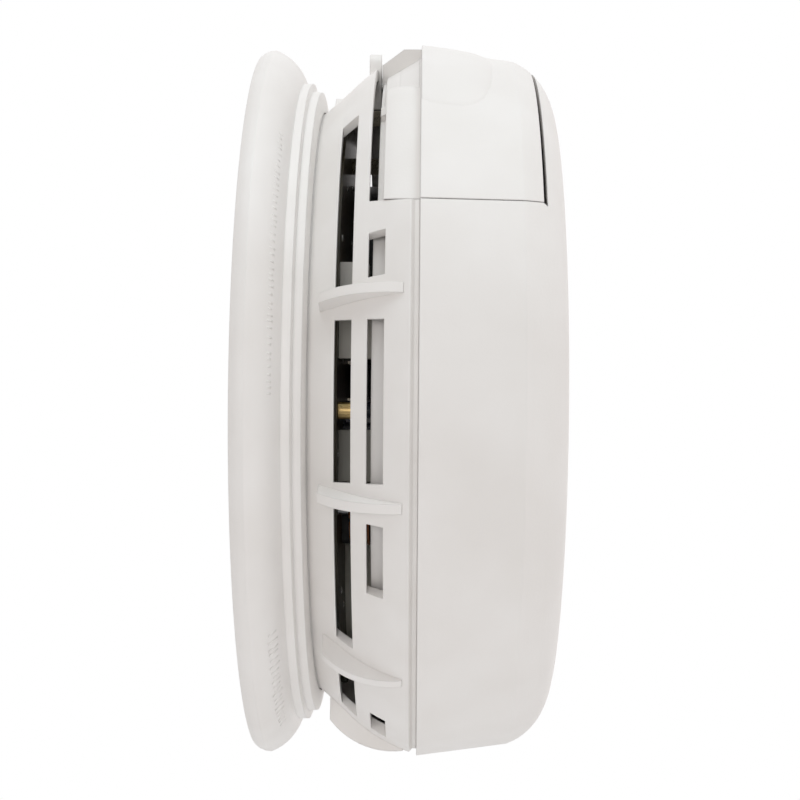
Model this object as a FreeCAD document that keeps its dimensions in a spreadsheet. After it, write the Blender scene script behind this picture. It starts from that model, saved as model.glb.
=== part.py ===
import FreeCAD, Part
import math
import os
from types import SimpleNamespace

import Sketcher

# A round mains smoke alarm with a swing-out battery drawer, and its wall bracket.
#
# Everything is drawn facing the wall: x is sideways, y is up and z is the distance from
# the wall, in millimetres.  Each finished piece is then turned by a quarter about x, so
# that +Z is up and the alarm faces -Y, with the origin in the middle of the wall face.
# Angles round the alarm are polar: 0 is +x, 90 is up and 180 is the drawer's side.

DOC = FreeCAD.newDocument("SmokeAlarm")
SHEET = DOC.addObject("Spreadsheet::Sheet", "Sizes")
VECTOR = FreeCAD.Vector
UPRIGHT = FreeCAD.Rotation(VECTOR(1, 0, 0), 90)

DRIVING = {
    # wall bracket
    "rim_r": 70.5,
    "rim_height": 2.5,
    "dome_r": 64.1,
    "dome_z": 8.0,
    "dome_round": 9.0,
    "step_z": 9.6,
    "bracket_top": 11.9,
    "neck_r": 58.2,
    "bracket_wall": 2.0,
    "dish_r": 49.0,
    "wire_hole_r": 27.0,
    "slot_pitch": 79.4,
    "slot_length": 14.0,
    "slot_half_width": 2.25,
    # twist lock
    "hook_r": 55.0,
    "hook_width": 9.0,
    "neck_half": 0.8,
    "foot_half": 1.9,
    "twist": 12.0,
    # vented base
    "base_back": 12.0,
    "floor": 2.0,
    "shell": 1.8,
    "tongue_r": 69.35,
    "seam_low": 29.8,
    "seam_high": 31.0,
    "row_a_low": 16.8,
    "row_a_high": 19.75,
    "row_b_low": 22.45,
    "row_b_high": 25.25,
    "slot_half": 13.6,
    "rib_width": 1.8,
    "first_rib": 164.5,
    # front cover
    "cover_r": 71.1,
    "shoulder_r": 68.7,
    "shoulder_z": 48.7,
    "face_r": 56.7,
    "face_z": 56.55,
    "crown_z": 57.05,
    "crown_r": 24.0,
    "skin": 2.0,
    "skirt_r": 64.4,
    "skirt_low": 23.1,
    # battery drawer
    "hinge_x": -4.46,
    "hinge_y": 63.84,
    "pin_r": 1.0,
    "barrel_r": 2.6,
    "knuckle_round": 8.3,
    "drawer_edge": 34.15,
    "drawer_back": 23.7,
    "drawer_front": 52.1,
    "gap": 0.3,
    "drawer_wall": 1.0,
    "battery_long": 48.5,
    "battery_wide": 25.2,
    "battery_thick": 17.2,
    "battery_start": 6.6,
    "battery_depth": 17.4,
    "drawer_lean": 28.2,
    # circuit board
    "board_back": 15.4,
    "board_thick": 1.6,
    "board_r": 57.0,
    # test button
    "button_x": -26.0,
    "button_y": 17.0,
    "button_r": 8.5,
    "button_travel": 1.2,
    # horn and sensing chamber
    "horn_x": -2.0,
    "horn_y": -29.0,
    "horn_r": 20.0,
    "chamber_x": 22.0,
    "chamber_y": 23.0,
    "chamber_r": 24.0,
}


class Size:
    """A number together with the spreadsheet expression that gives it."""

    def __init__(self, value, text):
        self.value = value
        self.text = text

    def __add__(self, other):
        other = sized(other)
        return Size(self.value + other.value, f"({self.text} + {other.text})")

    def __radd__(self, other):
        return sized(other) + self

    def __sub__(self, other):
        other = sized(other)
        return Size(self.value - other.value, f"({self.text} - {other.text})")

    def __rsub__(self, other):
        return sized(other) - self

    def __mul__(self, other):
        other = sized(other)
        return Size(self.value * other.value, f"({self.text} * {other.text})")

    def __rmul__(self, other):
        return sized(other) * self

    def __neg__(self):
        return Size(-self.value, f"(-1 * {self.text})")


def sized(number):
    """Return any number as a Size."""
    if isinstance(number, Size):
        return number
    return Size(float(number), f"({float(number)!r})")


def cosine(angle):
    angle = sized(angle)
    return Size(math.cos(math.radians(angle.value)), f"cos({angle.text})")


def sine(angle):
    angle = sized(angle)
    return Size(math.sin(math.radians(angle.value)), f"sin({angle.text})")


def polar(radius, angle):
    """Return the point at a radius and a polar angle."""
    return (radius * cosine(angle), radius * sine(angle))


def fill_sheet():
    """Write the driving sizes to the spreadsheet and return them by name."""
    sizes = {}
    for row, (alias, value) in enumerate(DRIVING.items(), start=1):
        SHEET.set(f"A{row}", alias)
        SHEET.set(f"B{row}", str(value))
        SHEET.setAlias(f"B{row}", alias)
        sizes[alias] = Size(value, f"Sizes.{alias}")
    DOC.recompute()
    return SimpleNamespace(**sizes)


S = fill_sheet()
PIECES = []
FAR = 82.0

# Twist lock.
HOOKS = 3
FIRST_HOOK = 30.0
HOOK_HALF_ANGLE = 4.5
HOOK_HIGH = 2.0
HOOK_FOOT_Z = S.bracket_top - S.bracket_wall - S.gap - HOOK_HIGH

# Base: ribs and vent slots.  Slots are angles down from the level of the axis.
RIB_STEP = 30.0
RIBS = 9
SIDE_SLOTS = {"a": [(16.3, 41.9), (47.4, 67.0)], "b": [(17.65, 28.9), (58.6, 68.0)]}
UPPER_SLOTS = {"a": [(16.6, 53.0), (73.5, 83.0)], "b": [(17.9, 24.9)]}
ROWS = {"a": (S.row_a_low, S.row_a_high), "b": (S.row_b_low, S.row_b_high)}
SNUG = 0.03
SEAM_GAP = 0.12

# Base: board posts, and the socket that the supply plug goes into.
BOARD_SCREW_R = 50.0
BOARD_SCREW_ANGLES = (8.0, 200.0, 285.0)
SOCKET_Y = 4.0
SOCKET_HALF_LONG = 13.0
SOCKET_HALF_WIDE = 7.0
SOCKET_PITCH = 7.0

# Drawer hinge, and the room that the drawer swings in.
HINGE = (S.hinge_x, S.hinge_y)
EAR_TOP = 41.0
BARREL_TOP = 37.7
SWING_R = 60.8
RECESS_ANGLE = 23.0
LIP_GAP = 0.65

# Face: horn grille and indicator.
GRILLE_RINGS = (5.0, 8.6, 12.2, 15.8)
GRILLE_SLOT = 1.5
GRILLE_ARCS = ((10.0, 80.0), (100.0, 170.0), (190.0, 260.0), (280.0, 350.0))
LENS_AT = (-8.0, 17.0)

# Battery.
LEAN_TURN = 180.0 + DRIVING["drawer_lean"]
TERMINAL_LONG = 2.0
TERMINAL_APART = 12.7

# Board: where the components stand.
CHIP_AT = (-9.0, 4.0)
CHIP_PINS_A_SIDE = 8
CHIP_PIN_PITCH = 2.54
DROPPER_AT = (-46.0, -9.5)
SNUBBER_AT = (-48.0, 11.5)
RELAY_AT = (-44.5, 21.3)
ELECTROLYTICS_AT = ((-20.0, -4.0), (-33.0, -8.0))
INDUCTOR_AT = (-31.0, -22.0)
TRANSISTOR_AT = (17.0, -7.0)
VARISTOR_AT = (27.0, -37.0)
EYELETS_AT = ((-51.0, -1.6), (40.0, -5.0))
RESISTORS = 6
FIRST_RESISTOR = (24.0, -13.0)
RESISTOR_PITCH = 4.0
DIODES = 4
FIRST_DIODE = (27.0, -24.0)
DIODE_PITCH = 4.2


def bind(feature, name, amount):
    """Set a property, with its expression if a driving size gives it."""
    amount = sized(amount)
    feature.setExpression(name, amount.text)


def publish(feature, label):
    """Name a finished piece and stand it upright, keeping a plain solid's own place."""
    if feature.TypeId in ("Part::Box", "Part::Cylinder"):
        return group(label, [feature])
    feature.Label = label
    feature.Placement = FreeCAD.Placement(VECTOR(0, 0, 0), UPRIGHT)
    PIECES.append(feature)
    return feature


# ---------------------------------------------------------------- sketches and features

def new_body(label):
    body = DOC.addObject("PartDesign::Body", label)
    body.AllowCompound = True
    return publish(body, label)


def new_sketch(body, role="XY_Plane", height=0.0, turn=0.0, axis=VECTOR(0, 0, 1)):
    """Make a sketch on an origin plane, raised by height and turned about an axis."""
    sketch = body.newObject("Sketcher::SketchObject", "Sketch")
    planes = [item for item in body.Origin.OriginFeatures if item.Role == role]
    sketch.AttachmentSupport = [(planes[0], "")]
    sketch.MapMode = "FlatFace"
    turned = FreeCAD.Rotation(axis, sized(turn).value)
    sketch.AttachmentOffset = FreeCAD.Placement(VECTOR(0, 0, 0), turned)
    bind(sketch, "AttachmentOffset.Base.z", height)
    return sketch


def pin_point(sketch, index, end, point):
    """Hold a point of a sketch at its place, by the expressions of its coordinates."""
    for kind, amount in zip(("DistanceX", "DistanceY"), point):
        amount = sized(amount)
        held = sketch.addConstraint(Sketcher.Constraint(kind, -1, 1, index, end, amount.value))
        sketch.setExpression(f"Constraints[{held}]", amount.text)


def arc_centre(start, stop, radius):
    """Return the centre of the arc that turns left from start to stop."""
    middle = (start + stop) * 0.5
    half = stop - start
    rise = math.sqrt(max(radius * radius - half.Length ** 2 / 4, 0.0))
    left = VECTOR(-half.y, half.x, 0)
    left.normalize()
    return middle + left * rise


def flat(point):
    return VECTOR(sized(point[0]).value, sized(point[1]).value, 0)


def hold_arc(sketch, index, start, stop):
    """Hold an arc by its radius, or a half circle by the middle of its chord."""
    chord = flat(stop) - flat(start)
    radius = sized(stop[2])
    if radius.value < 0:
        radius = -radius
    if abs(chord.Length * 0.5 - radius.value) > 1e-6:
        held = sketch.addConstraint(Sketcher.Constraint("Radius", index, radius.value))
        sketch.setExpression(f"Constraints[{held}]", radius.text)
        return
    upright = abs(chord.y) >= abs(chord.x)
    kind, side = ("DistanceX", 0) if upright else ("DistanceY", 1)
    middle = (sized(start[side]) + stop[side]) * 0.5
    held = sketch.addConstraint(Sketcher.Constraint(kind, -1, 1, index, 3, middle.value))
    sketch.setExpression(f"Constraints[{held}]", middle.text)


def outline(sketch, corners):
    """Draw a closed outline.  A corner is (u, v), or (u, v, radius) to reach it on an arc.

    A positive radius bulges to the right of the direction of travel, a negative one to
    the left.
    """
    first = sketch.GeometryCount
    total = len(corners)
    for index, corner in enumerate(corners):
        start = flat(corner)
        following = corners[(index + 1) % total]
        stop = flat(following)
        if len(following) == 2:
            sketch.addGeometry(Part.LineSegment(start, stop), False)
            continue
        radius = sized(following[2]).value
        ends = (start, stop) if radius > 0 else (stop, start)
        centre = arc_centre(ends[0], ends[1], abs(radius))
        angles = [math.atan2(end.y - centre.y, end.x - centre.x) for end in ends]
        circle = Part.Circle(centre, VECTOR(0, 0, 1), abs(radius))
        sketch.addGeometry(Part.ArcOfCircle(circle, angles[0], angles[1]), False)
    for index, corner in enumerate(corners):
        bulge = sized(corner[2]).value if len(corner) == 3 else 0.0
        before = first + (index - 1) % total
        after = first + index
        arrives = 1 if bulge < 0 else 2
        following = corners[(index + 1) % total]
        leaves = 1
        if len(following) == 3 and sized(following[2]).value < 0:
            leaves = 2
        sketch.addConstraint(Sketcher.Constraint("Coincident", before, arrives, after, leaves))
        pin_point(sketch, after, leaves, corner)
        if len(corner) == 3:
            hold_arc(sketch, before, corners[(index - 1) % total], corner)
    return sketch


def ring(sketch, centre, radius):
    """Draw a circle."""
    index = sketch.GeometryCount
    sketch.addGeometry(Part.Circle(flat(centre), VECTOR(0, 0, 1), sized(radius).value), False)
    pin_point(sketch, index, 3, centre)
    held = sketch.addConstraint(Sketcher.Constraint("Radius", index, sized(radius).value))
    sketch.setExpression(f"Constraints[{held}]", sized(radius).text)
    return sketch


def rectangle(sketch, low, high):
    """Draw a rectangle from its lowest to its highest corner."""
    return outline(sketch, [low, (high[0], low[1]), high, (low[0], high[1])])


def feature(body, kind, sketch, length=None):
    made = body.newObject(f"PartDesign::{kind}", kind)
    made.Profile = sketch
    if length is not None:
        bind(made, "Length", length)
    sketch.Visibility = False
    body.Tip = made
    return made


def pad(body, sketch, length, middle=False):
    """Raise a sketch away from the wall, or to both sides of its plane."""
    made = feature(body, "Pad", sketch, length)
    made.Midplane = middle
    return made


def pocket(body, sketch, length, middle=False):
    """Cut a sketch away from the wall, or to both sides of its plane."""
    made = feature(body, "Pocket", sketch, length)
    made.Midplane = middle
    made.Reversed = not middle
    return made


def spun(body, sketch, kind="Revolution"):
    """Turn a profile sketch once round its own upright axis, or cut that shape away."""
    made = feature(body, kind, sketch)
    made.ReferenceAxis = (sketch, ["V_Axis"])
    made.Angle = 360
    return made


def around(body, original, span, count):
    """Repeat a feature round the z axis."""
    made = body.newObject("PartDesign::PolarPattern", "PolarPattern")
    made.Originals = [original]
    axes = [item for item in body.Origin.OriginFeatures if item.Role == "Z_Axis"]
    made.Axis = (axes[0], [""])
    made.Angle = span
    made.Occurrences = count
    body.Tip = made
    return made


def sector(inner, outer, start, end):
    """Return the outline between two radii and two polar angles, with straight sides."""
    return [polar(inner, start), polar(outer, start), polar(outer, end), polar(inner, end)]


# ------------------------------------------------------------------- simple solid pieces

def place(solid, position, turn=0.0):
    """Put a simple solid at x, y, z, turned about z."""
    solid.Placement = FreeCAD.Placement(VECTOR(0, 0, 0), FreeCAD.Rotation(VECTOR(0, 0, 1), turn))
    for axis, amount in zip("xyz", position):
        bind(solid, f"Placement.Base.{axis}", amount)
    return solid


def disc(centre, low, high, radius):
    """A cylinder that stands on z = low."""
    made = DOC.addObject("Part::Cylinder", "Cylinder")
    bind(made, "Radius", radius)
    bind(made, "Height", high - sized(low))
    return place(made, (centre[0], centre[1], low))


def block(centre, low, high, length, width, turn=0.0):
    """A box centred on x, y that stands on z = low, its length turned from x by an angle."""
    made = DOC.addObject("Part::Box", "Box")
    bind(made, "Length", length)
    bind(made, "Width", width)
    bind(made, "Height", high - sized(low))
    back_x = centre[0] - length * 0.5 * cosine(turn) + width * 0.5 * sine(turn)
    back_y = centre[1] - length * 0.5 * sine(turn) - width * 0.5 * cosine(turn)
    return place(made, (back_x, back_y, low), turn)


def rod(start, direction, length, radius):
    """A round rod from a point along a direction."""
    made = DOC.addObject("Part::Cylinder", "Rod")
    bind(made, "Radius", radius)
    bind(made, "Height", length)
    place(made, start)
    made.Placement.Rotation = FreeCAD.Rotation(VECTOR(0, 0, 1), VECTOR(*direction))
    return made


def cut(base, tools):
    made = DOC.addObject("Part::Cut", "Cut")
    made.Base = base
    made.Tool = tools[0] if len(tools) == 1 else fuse(tools)
    return made


def fuse(solids):
    if len(solids) == 1:
        return solids[0]
    made = DOC.addObject("Part::MultiFuse", "Fuse")
    made.Shapes = solids
    return made


def group(label, solids):
    """Publish separate solids that share one name."""
    made = DOC.addObject("Part::Compound", "Group")
    made.Links = solids
    return publish(made, label)


def tube(centre, low, high, radius, bore):
    return cut(disc(centre, low, high, radius), [disc(centre, low - sized(1), high + sized(1), bore)])


def arc_sector(inner, outer, start, end, centre=(0.0, 0.0)):
    """Return the outline between two radii and two polar angles, with round sides."""
    def at(radius, angle):
        point = polar(radius, angle)
        return (point[0] + centre[0], point[1] + centre[1])

    return [
        (*at(inner, start), -sized(inner)),
        at(outer, start),
        (*at(outer, end), outer),
        at(inner, end),
    ]


def slot_outline(centre, half_long, half_wide, upright=False):
    """Return the outline of a slot with round ends."""
    straight = half_long - half_wide
    corners = [
        (-straight, -half_wide, half_wide),
        (straight, -half_wide),
        (straight, half_wide, half_wide),
        (-straight, half_wide),
    ]
    if upright:
        corners = [(-corner[1], corner[0], *corner[2:]) for corner in corners]
    return [(centre[0] + corner[0], centre[1] + corner[1], *corner[2:]) for corner in corners]


def drawer_point(along, out):
    """Turn a place in the drawer into x and y.

    along runs from the hinge pin to the drawer's free end, out runs away from the axis.
    """
    lean = S.drawer_lean
    x = S.hinge_x - along * cosine(lean) - out * sine(lean)
    y = S.hinge_y - along * sine(lean) + out * cosine(lean)
    return (x, y)


def drawer_outline(low, high):
    """Return the outline of a rectangle that is square to the battery."""
    return [
        drawer_point(low[0], low[1]),
        drawer_point(low[0], high[1]),
        drawer_point(high[0], high[1]),
        drawer_point(high[0], low[1]),
    ]


def drawer_region(edge, knuckle):
    """Return the outline of the drawer's side of the alarm, seen from the front."""
    return [
        (-FAR, edge),
        (S.hinge_x, edge),
        (S.hinge_x, S.hinge_y - knuckle),
        (S.hinge_x, S.hinge_y + knuckle, knuckle),
        (S.hinge_x, FAR),
        (-FAR, FAR),
    ]


# --------------------------------------------------------------------------- the bracket

def make_bracket():
    """The trim ring that is screwed to the wall box, with windows for the twist lock."""
    body = new_body("mounting_bracket")
    wall = S.bracket_wall
    top = S.bracket_top
    profile = new_sketch(body, "XZ_Plane")
    outline(profile, [
        (0.0, 0.0),
        (S.dish_r + wall, 0.0),
        (S.dish_r + wall, top - wall),
        (S.neck_r + 1.2, top - wall),
        (S.dome_r - wall, top - 2.9),
        (S.dome_r - wall, S.dome_z - 1.9),
        (S.dome_r - 0.4, S.dome_z - 2.1),
        (S.rim_r - wall, S.rim_height - 0.3, -(S.dome_round - 1.5)),
        (S.rim_r - wall, 0.0),
        (S.rim_r - 1.0, 0.0),
        (S.rim_r, S.rim_height, 3.2),
        (S.dome_r, S.dome_z, S.dome_round),
        (S.dome_r, S.step_z),
        (S.dome_r - 1.5, S.step_z + 0.25),
        (S.dome_r - 1.7, S.step_z + 1.75),
        (S.neck_r + 1.3, top - 0.15),
        (S.neck_r + S.gap, top),
        (S.neck_r + S.gap, top - 1.0),
        (S.neck_r - 0.8, top - 1.0),
        (S.neck_r - 0.8, top),
        (S.dish_r, top),
        (S.dish_r, wall),
        (0.0, wall),
    ])
    spun(body, profile)
    pocket(body, ring(new_sketch(body, height=-1.0), (0.0, 0.0), S.wire_hole_r), 5.0)
    reach = S.slot_pitch * 0.5
    for side in (-1, 1):
        for upright in (False, True):
            centre = (0.0, side * reach) if upright else (side * reach, 0.0)
            holes = new_sketch(body, height=-1.0)
            outline(holes, slot_outline(centre, S.slot_length * 0.5, S.slot_half_width, upright))
            pocket(body, holes, 5.0)
    half = HOOK_HALF_ANGLE
    narrow = new_sketch(body, height=top - 3.0)
    outline(narrow, arc_sector(
        S.hook_r - S.neck_half - S.gap,
        S.hook_r + S.neck_half + S.gap,
        FIRST_HOOK - half - 0.6,
        FIRST_HOOK + half + S.twist + 0.6,
    ))
    around(body, pocket(body, narrow, 5.0), 360, HOOKS)
    window = new_sketch(body, height=top - 3.0)
    outline(window, arc_sector(
        S.hook_r - S.foot_half - S.gap,
        S.hook_r + S.foot_half + S.gap,
        FIRST_HOOK + S.twist - half - 0.6,
        FIRST_HOOK + S.twist + half + 0.6,
    ))
    around(body, pocket(body, window, 5.0), 360, HOOKS)
    notch = new_sketch(body, height=S.dome_z)
    rectangle(notch, (-3.0, S.dome_r - 1.6), (3.0, S.dome_r + 2.0))
    pocket(body, notch, S.step_z - S.dome_z + 0.4)


# ------------------------------------------------------------------------ the alarm's shell

def vent(body, row, corners):
    """Cut one vent slot of a row through the wall of the base."""
    low, high = ROWS[row]
    pocket(body, outline(new_sketch(body, height=low), corners), high - low)


def cut_vents(body):
    """Cut the slots of both rows, sector by sector between the ribs."""
    for row in ROWS:
        for side in (-1, 1):
            near, far = sorted((side * 50.0, side * FAR))
            vent(body, row, [(near, -S.slot_half), (far, -S.slot_half),
                             (far, S.slot_half), (near, S.slot_half)])
        for start, end in SIDE_SLOTS[row]:
            vent(body, row, sector(50.0, FAR, 180 + start, 180 + end))
            vent(body, row, sector(50.0, FAR, 359 - end, 359 - start))
            vent(body, row, sector(50.0, FAR, start, end))
        for start, end in UPPER_SLOTS[row]:
            vent(body, row, sector(50.0, FAR, 180 - end, 180 - start))


def open_for_drawer(body, height, depth):
    """Cut the drawer's opening, and room for its inner corner to swing out."""
    opening = new_sketch(body, height=height)
    outline(opening, drawer_region(S.drawer_edge - SEAM_GAP, S.knuckle_round + S.gap))
    pocket(body, opening, depth)
    swing = new_sketch(body, height=height)
    outline(swing, arc_sector(48.0, SWING_R, 200.0, 232.0, HINGE))
    pocket(body, swing, depth)


def make_base():
    """The vented base, with the twist-lock hooks, board posts and the drawer's hinge ears."""
    body = new_body("base_housing")
    back = S.base_back
    inside = back + S.floor
    profile = new_sketch(body, "XZ_Plane")
    outline(profile, [
        (0.0, back),
        (S.neck_r - 0.5, back),
        (S.neck_r - 0.5, back - 0.8),
        (S.neck_r, back - 0.8),
        (S.neck_r, back),
        (S.neck_r + 4.15, S.row_a_low),
        (S.tongue_r + 1.05, S.seam_low - 0.4, 30.0),
        (S.tongue_r + 1.05, S.seam_low - 0.2),
        (S.tongue_r + 0.4, S.seam_low + 0.35),
        (S.tongue_r + 0.4, S.seam_high - SNUG),
        (S.tongue_r - S.shell, S.seam_high - SNUG),
        (S.tongue_r - S.shell, S.seam_low - 1.2),
        (S.neck_r + 2.2, S.row_a_low, -28.0),
        (S.neck_r - 0.3, inside),
        (0.0, inside),
    ])
    spun(body, profile)

    rib = new_sketch(body, "XZ_Plane", turn=S.first_rib, axis=VECTOR(0, 1, 0))
    foot = back + 2.15
    outline(rib, [
        (S.neck_r + 0.8, foot),
        (S.neck_r + 6.3, foot),
        (S.tongue_r + 0.95, S.seam_low - 1.4, 15.5),
        (S.tongue_r - 0.2, S.seam_low - 1.4),
        (S.neck_r + 3.1, S.row_a_low, -30.0),
    ])
    around(body, pad(body, rib, S.rib_width, middle=True), RIB_STEP * (RIBS - 1), RIBS)
    cut_vents(body)

    open_for_drawer(body, S.row_b_low - 0.1, 12.0)

    socket_hole = new_sketch(body, height=back - 1.0)
    rectangle(socket_hole, (-SOCKET_HALF_LONG, SOCKET_Y - SOCKET_HALF_WIDE),
              (SOCKET_HALF_LONG, SOCKET_Y + SOCKET_HALF_WIDE))
    pocket(body, socket_hole, S.floor + 2.0)

    for turn in BOARD_SCREW_ANGLES:
        post = ring(new_sketch(body, height=inside - 0.5), polar(BOARD_SCREW_R, turn), 3.2)
        pad(body, post, S.board_back - inside + 0.5)
        hole = ring(new_sketch(body, height=back + 0.6), polar(BOARD_SCREW_R, turn), 1.1)
        pocket(body, hole, 5.0)

    neck = new_sketch(body, height=HOOK_FOOT_Z)
    neck_reach = (S.hook_r - S.neck_half, S.hook_r + S.neck_half)
    outline(neck, arc_sector(*neck_reach, FIRST_HOOK - HOOK_HALF_ANGLE,
                             FIRST_HOOK + HOOK_HALF_ANGLE))
    around(body, pad(body, neck, back - HOOK_FOOT_Z + 0.5), 360, HOOKS)
    hook = new_sketch(body, height=HOOK_FOOT_Z)
    hook_reach = (S.hook_r - S.foot_half, S.hook_r + S.foot_half)
    outline(hook, arc_sector(*hook_reach, FIRST_HOOK - HOOK_HALF_ANGLE,
                             FIRST_HOOK + HOOK_HALF_ANGLE))
    around(body, pad(body, hook, HOOK_HIGH), 360, HOOKS)

    column = new_sketch(body, height=inside - 0.5)
    outline(column, drawer_outline((-2.6, -6.6), (2.6, -3.3)))
    pad(body, column, EAR_TOP - inside + 0.5)
    lower_ear = new_sketch(body, height=S.drawer_back - 3.15)
    outline(lower_ear, [
        (S.hinge_x - 2.5, S.hinge_y - 5.0),
        (S.hinge_x + 2.5, S.hinge_y - 5.0),
        (S.hinge_x + 2.5, S.hinge_y + 4.1),
        (S.hinge_x - 2.5, S.hinge_y + 4.1, 2.5),
    ])
    pad(body, lower_ear, 2.4)
    upper_ear = new_sketch(body, height=EAR_TOP - 3.0)
    outline(upper_ear, [
        drawer_point(2.6, -6.6),
        drawer_point(-2.6, -6.6),
        drawer_point(-2.6, 0.0),
        (*drawer_point(2.6, 0.0), 2.6),
    ])
    pad(body, upper_ear, 3.0)
    bore = ring(new_sketch(body, height=S.drawer_back - 3.5), HINGE, S.pin_r)
    pocket(body, bore, 22.0)


def skin_profile(body, low_corners, inside_corners):
    """Spin the outer skin of the cover, with its own foot and inside corners."""
    profile = new_sketch(body, "XZ_Plane")
    outline(profile, [
        *low_corners,
        (S.cover_r, S.seam_high),
        (S.shoulder_r, S.shoulder_z),
        (S.face_r, S.face_z, 12.0),
        (S.crown_r, S.crown_z),
        (0.0, S.crown_z),
        (0.0, S.crown_z - S.skin),
        (S.face_r - 0.5, S.face_z - S.skin),
        (S.shoulder_r - S.skin, S.shoulder_z - 0.2, -10.0),
        *inside_corners,
    ])
    return spun(body, profile)


def make_cover():
    """The front cover, with its inner skirt, horn grille and openings."""
    body = new_body("front_cover")
    low = [
        (S.skirt_r - 1.6, S.skirt_low),
        (S.skirt_r, S.skirt_low),
        (S.skirt_r, S.seam_high),
    ]
    inside = [
        (S.cover_r - S.skin - 0.1, S.seam_high + S.skin),
        (S.skirt_r - 1.6, S.seam_high + S.skin),
    ]
    skin_profile(body, low, inside)
    low = S.skirt_low - 1.0
    open_for_drawer(body, low, S.drawer_front + LIP_GAP - low)
    hole = ring(new_sketch(body, height=50.0), (S.button_x, S.button_y), S.button_r + S.gap)
    pocket(body, hole, 12.0)
    lens = ring(new_sketch(body, height=50.0), LENS_AT, 1.65)
    pocket(body, lens, 12.0)
    for radius in GRILLE_RINGS:
        grille = new_sketch(body, height=50.0)
        for start, end in GRILLE_ARCS:
            trim = 3.0 * GRILLE_RINGS[-1] / radius - 3.0
            outline(grille, arc_sector(radius, radius + GRILLE_SLOT, start + trim, end - trim,
                                       (S.horn_x, S.horn_y)))
        pocket(body, grille, 12.0)
    guide = new_sketch(body, height=S.face_z - S.skin - 4.0)
    ring(guide, (S.button_x, S.button_y), S.button_r + S.gap + 1.2)
    ring(guide, (S.button_x, S.button_y), S.button_r + S.gap)
    pad(body, guide, 5.0)


# ------------------------------------------------------------------------------ the drawer

def make_drawer():
    """The swing-out battery drawer: a piece of skin, a battery tray and a hinge barrel."""
    body = new_body("battery_drawer")
    low = [
        (S.skirt_r - 1.3, S.drawer_back),
        (S.skirt_r - 0.3, S.drawer_back),
        (S.skirt_r - 0.1, S.drawer_back + 1.1),
        (S.skirt_r + 4.35, S.drawer_back + 1.1),
        (S.tongue_r - 0.25, S.seam_high, 8.6),
    ]
    inside = [
        (S.cover_r - S.skin - 0.1, S.seam_high + S.skin),
        (S.tongue_r - 2.2, S.seam_low),
        (S.tongue_r - 2.8, S.drawer_back + 1.7),
        (S.skirt_r - 1.3, S.drawer_back + 1.2),
    ]
    skin_profile(body, low, inside)
    outside = new_sketch(body, height=0.0)
    ring(outside, (0.0, 0.0), 130.0)
    outline(outside, drawer_region(S.drawer_edge, S.knuckle_round))
    pocket(body, outside, 70.0)
    front = ring(new_sketch(body, height=S.drawer_front), (0.0, 0.0), 100.0)
    pocket(body, front, 20.0)

    relief = new_sketch(body, height=S.drawer_back - 0.2)
    rectangle(relief, (S.hinge_x + 1.0, S.hinge_y - 4.0), (S.hinge_x + 11.0, S.hinge_y + 3.5))
    pocket(body, relief, 6.0)

    backing = new_sketch(body, "XZ_Plane", turn=100.0, axis=VECTOR(0, 1, 0))
    outline(backing, [
        (S.skirt_r - 2.4, S.drawer_back),
        (S.skirt_r + 0.8, S.drawer_back),
        (S.tongue_r - 0.4, S.seam_high + 0.9),
        (S.tongue_r - 3.9, S.seam_high + 0.9),
    ])
    spun(body, backing).Angle = RECESS_ANGLE + 4.5
    scoop = new_sketch(body, "XZ_Plane", turn=101.5, axis=VECTOR(0, 1, 0))
    outline(scoop, [
        (S.skirt_r - 1.4, S.drawer_back - 0.6),
        (S.cover_r + 8.0, S.drawer_back - 0.6),
        (S.cover_r + 8.0, S.seam_high - 0.4),
        (S.tongue_r - 0.45, S.seam_high - 0.4),
        (S.skirt_r + 0.85, S.drawer_back + 0.7),
        (S.skirt_r - 1.4, S.drawer_back + 0.7),
    ])
    spun(body, scoop, "Groove").Angle = RECESS_ANGLE
    lug = new_sketch(body, "XZ_Plane", turn=95.0, axis=VECTOR(0, 1, 0))
    outline(lug, [
        (S.skirt_r - 1.3, S.drawer_back - 0.4),
        (S.tongue_r - 1.6, S.drawer_back - 0.4),
        (S.cover_r - 0.2, S.seam_low - 2.2),
        (S.cover_r - 0.2, S.seam_high + 0.3),
        (S.tongue_r - 2.0, S.seam_high + 0.3),
    ])
    spun(body, lug).Angle = 6.5

    start = S.battery_start + 0.3
    end = S.battery_start + S.battery_long + 2.0
    bottom = -(S.battery_depth + 1.5)
    trim_r = S.skirt_r - 0.3
    for height in (S.drawer_back, S.drawer_front - S.drawer_wall):
        plate = new_sketch(body, height=height)
        outline(plate, [
            drawer_point(start, bottom),
            drawer_point(start, on_circle(start, trim_r)),
            (*drawer_point(end, on_circle(end, trim_r)), trim_r),
            drawer_point(end, bottom),
        ])
        pad(body, plate, S.drawer_wall)
    depth = S.drawer_front - S.drawer_back
    floor = outline(new_sketch(body, height=S.drawer_back), drawer_outline(
        (start, bottom), (end, bottom + S.drawer_wall)))
    pad(body, floor, depth)
    wall = outline(new_sketch(body, height=S.drawer_back), drawer_outline(
        (end - S.drawer_wall, bottom), (end, on_circle(end, trim_r))))
    pad(body, wall, depth)

    web = new_sketch(body, height=S.drawer_back)
    rectangle(web, (S.hinge_x - 1.4, S.hinge_y + 1.6), (S.hinge_x + 1.4, S.hinge_y + 4.6))
    pad(body, web, BARREL_TOP - S.drawer_back)
    barrel = ring(new_sketch(body, height=S.drawer_back), HINGE, S.barrel_r)
    pad(body, barrel, BARREL_TOP - S.drawer_back)
    bore = ring(new_sketch(body, height=S.drawer_back - 2.0), HINGE, S.pin_r + 0.05)
    pocket(body, bore, 20.0)


def root(amount):
    amount = sized(amount)
    return Size(math.sqrt(amount.value), f"sqrt({amount.text})")


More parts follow.
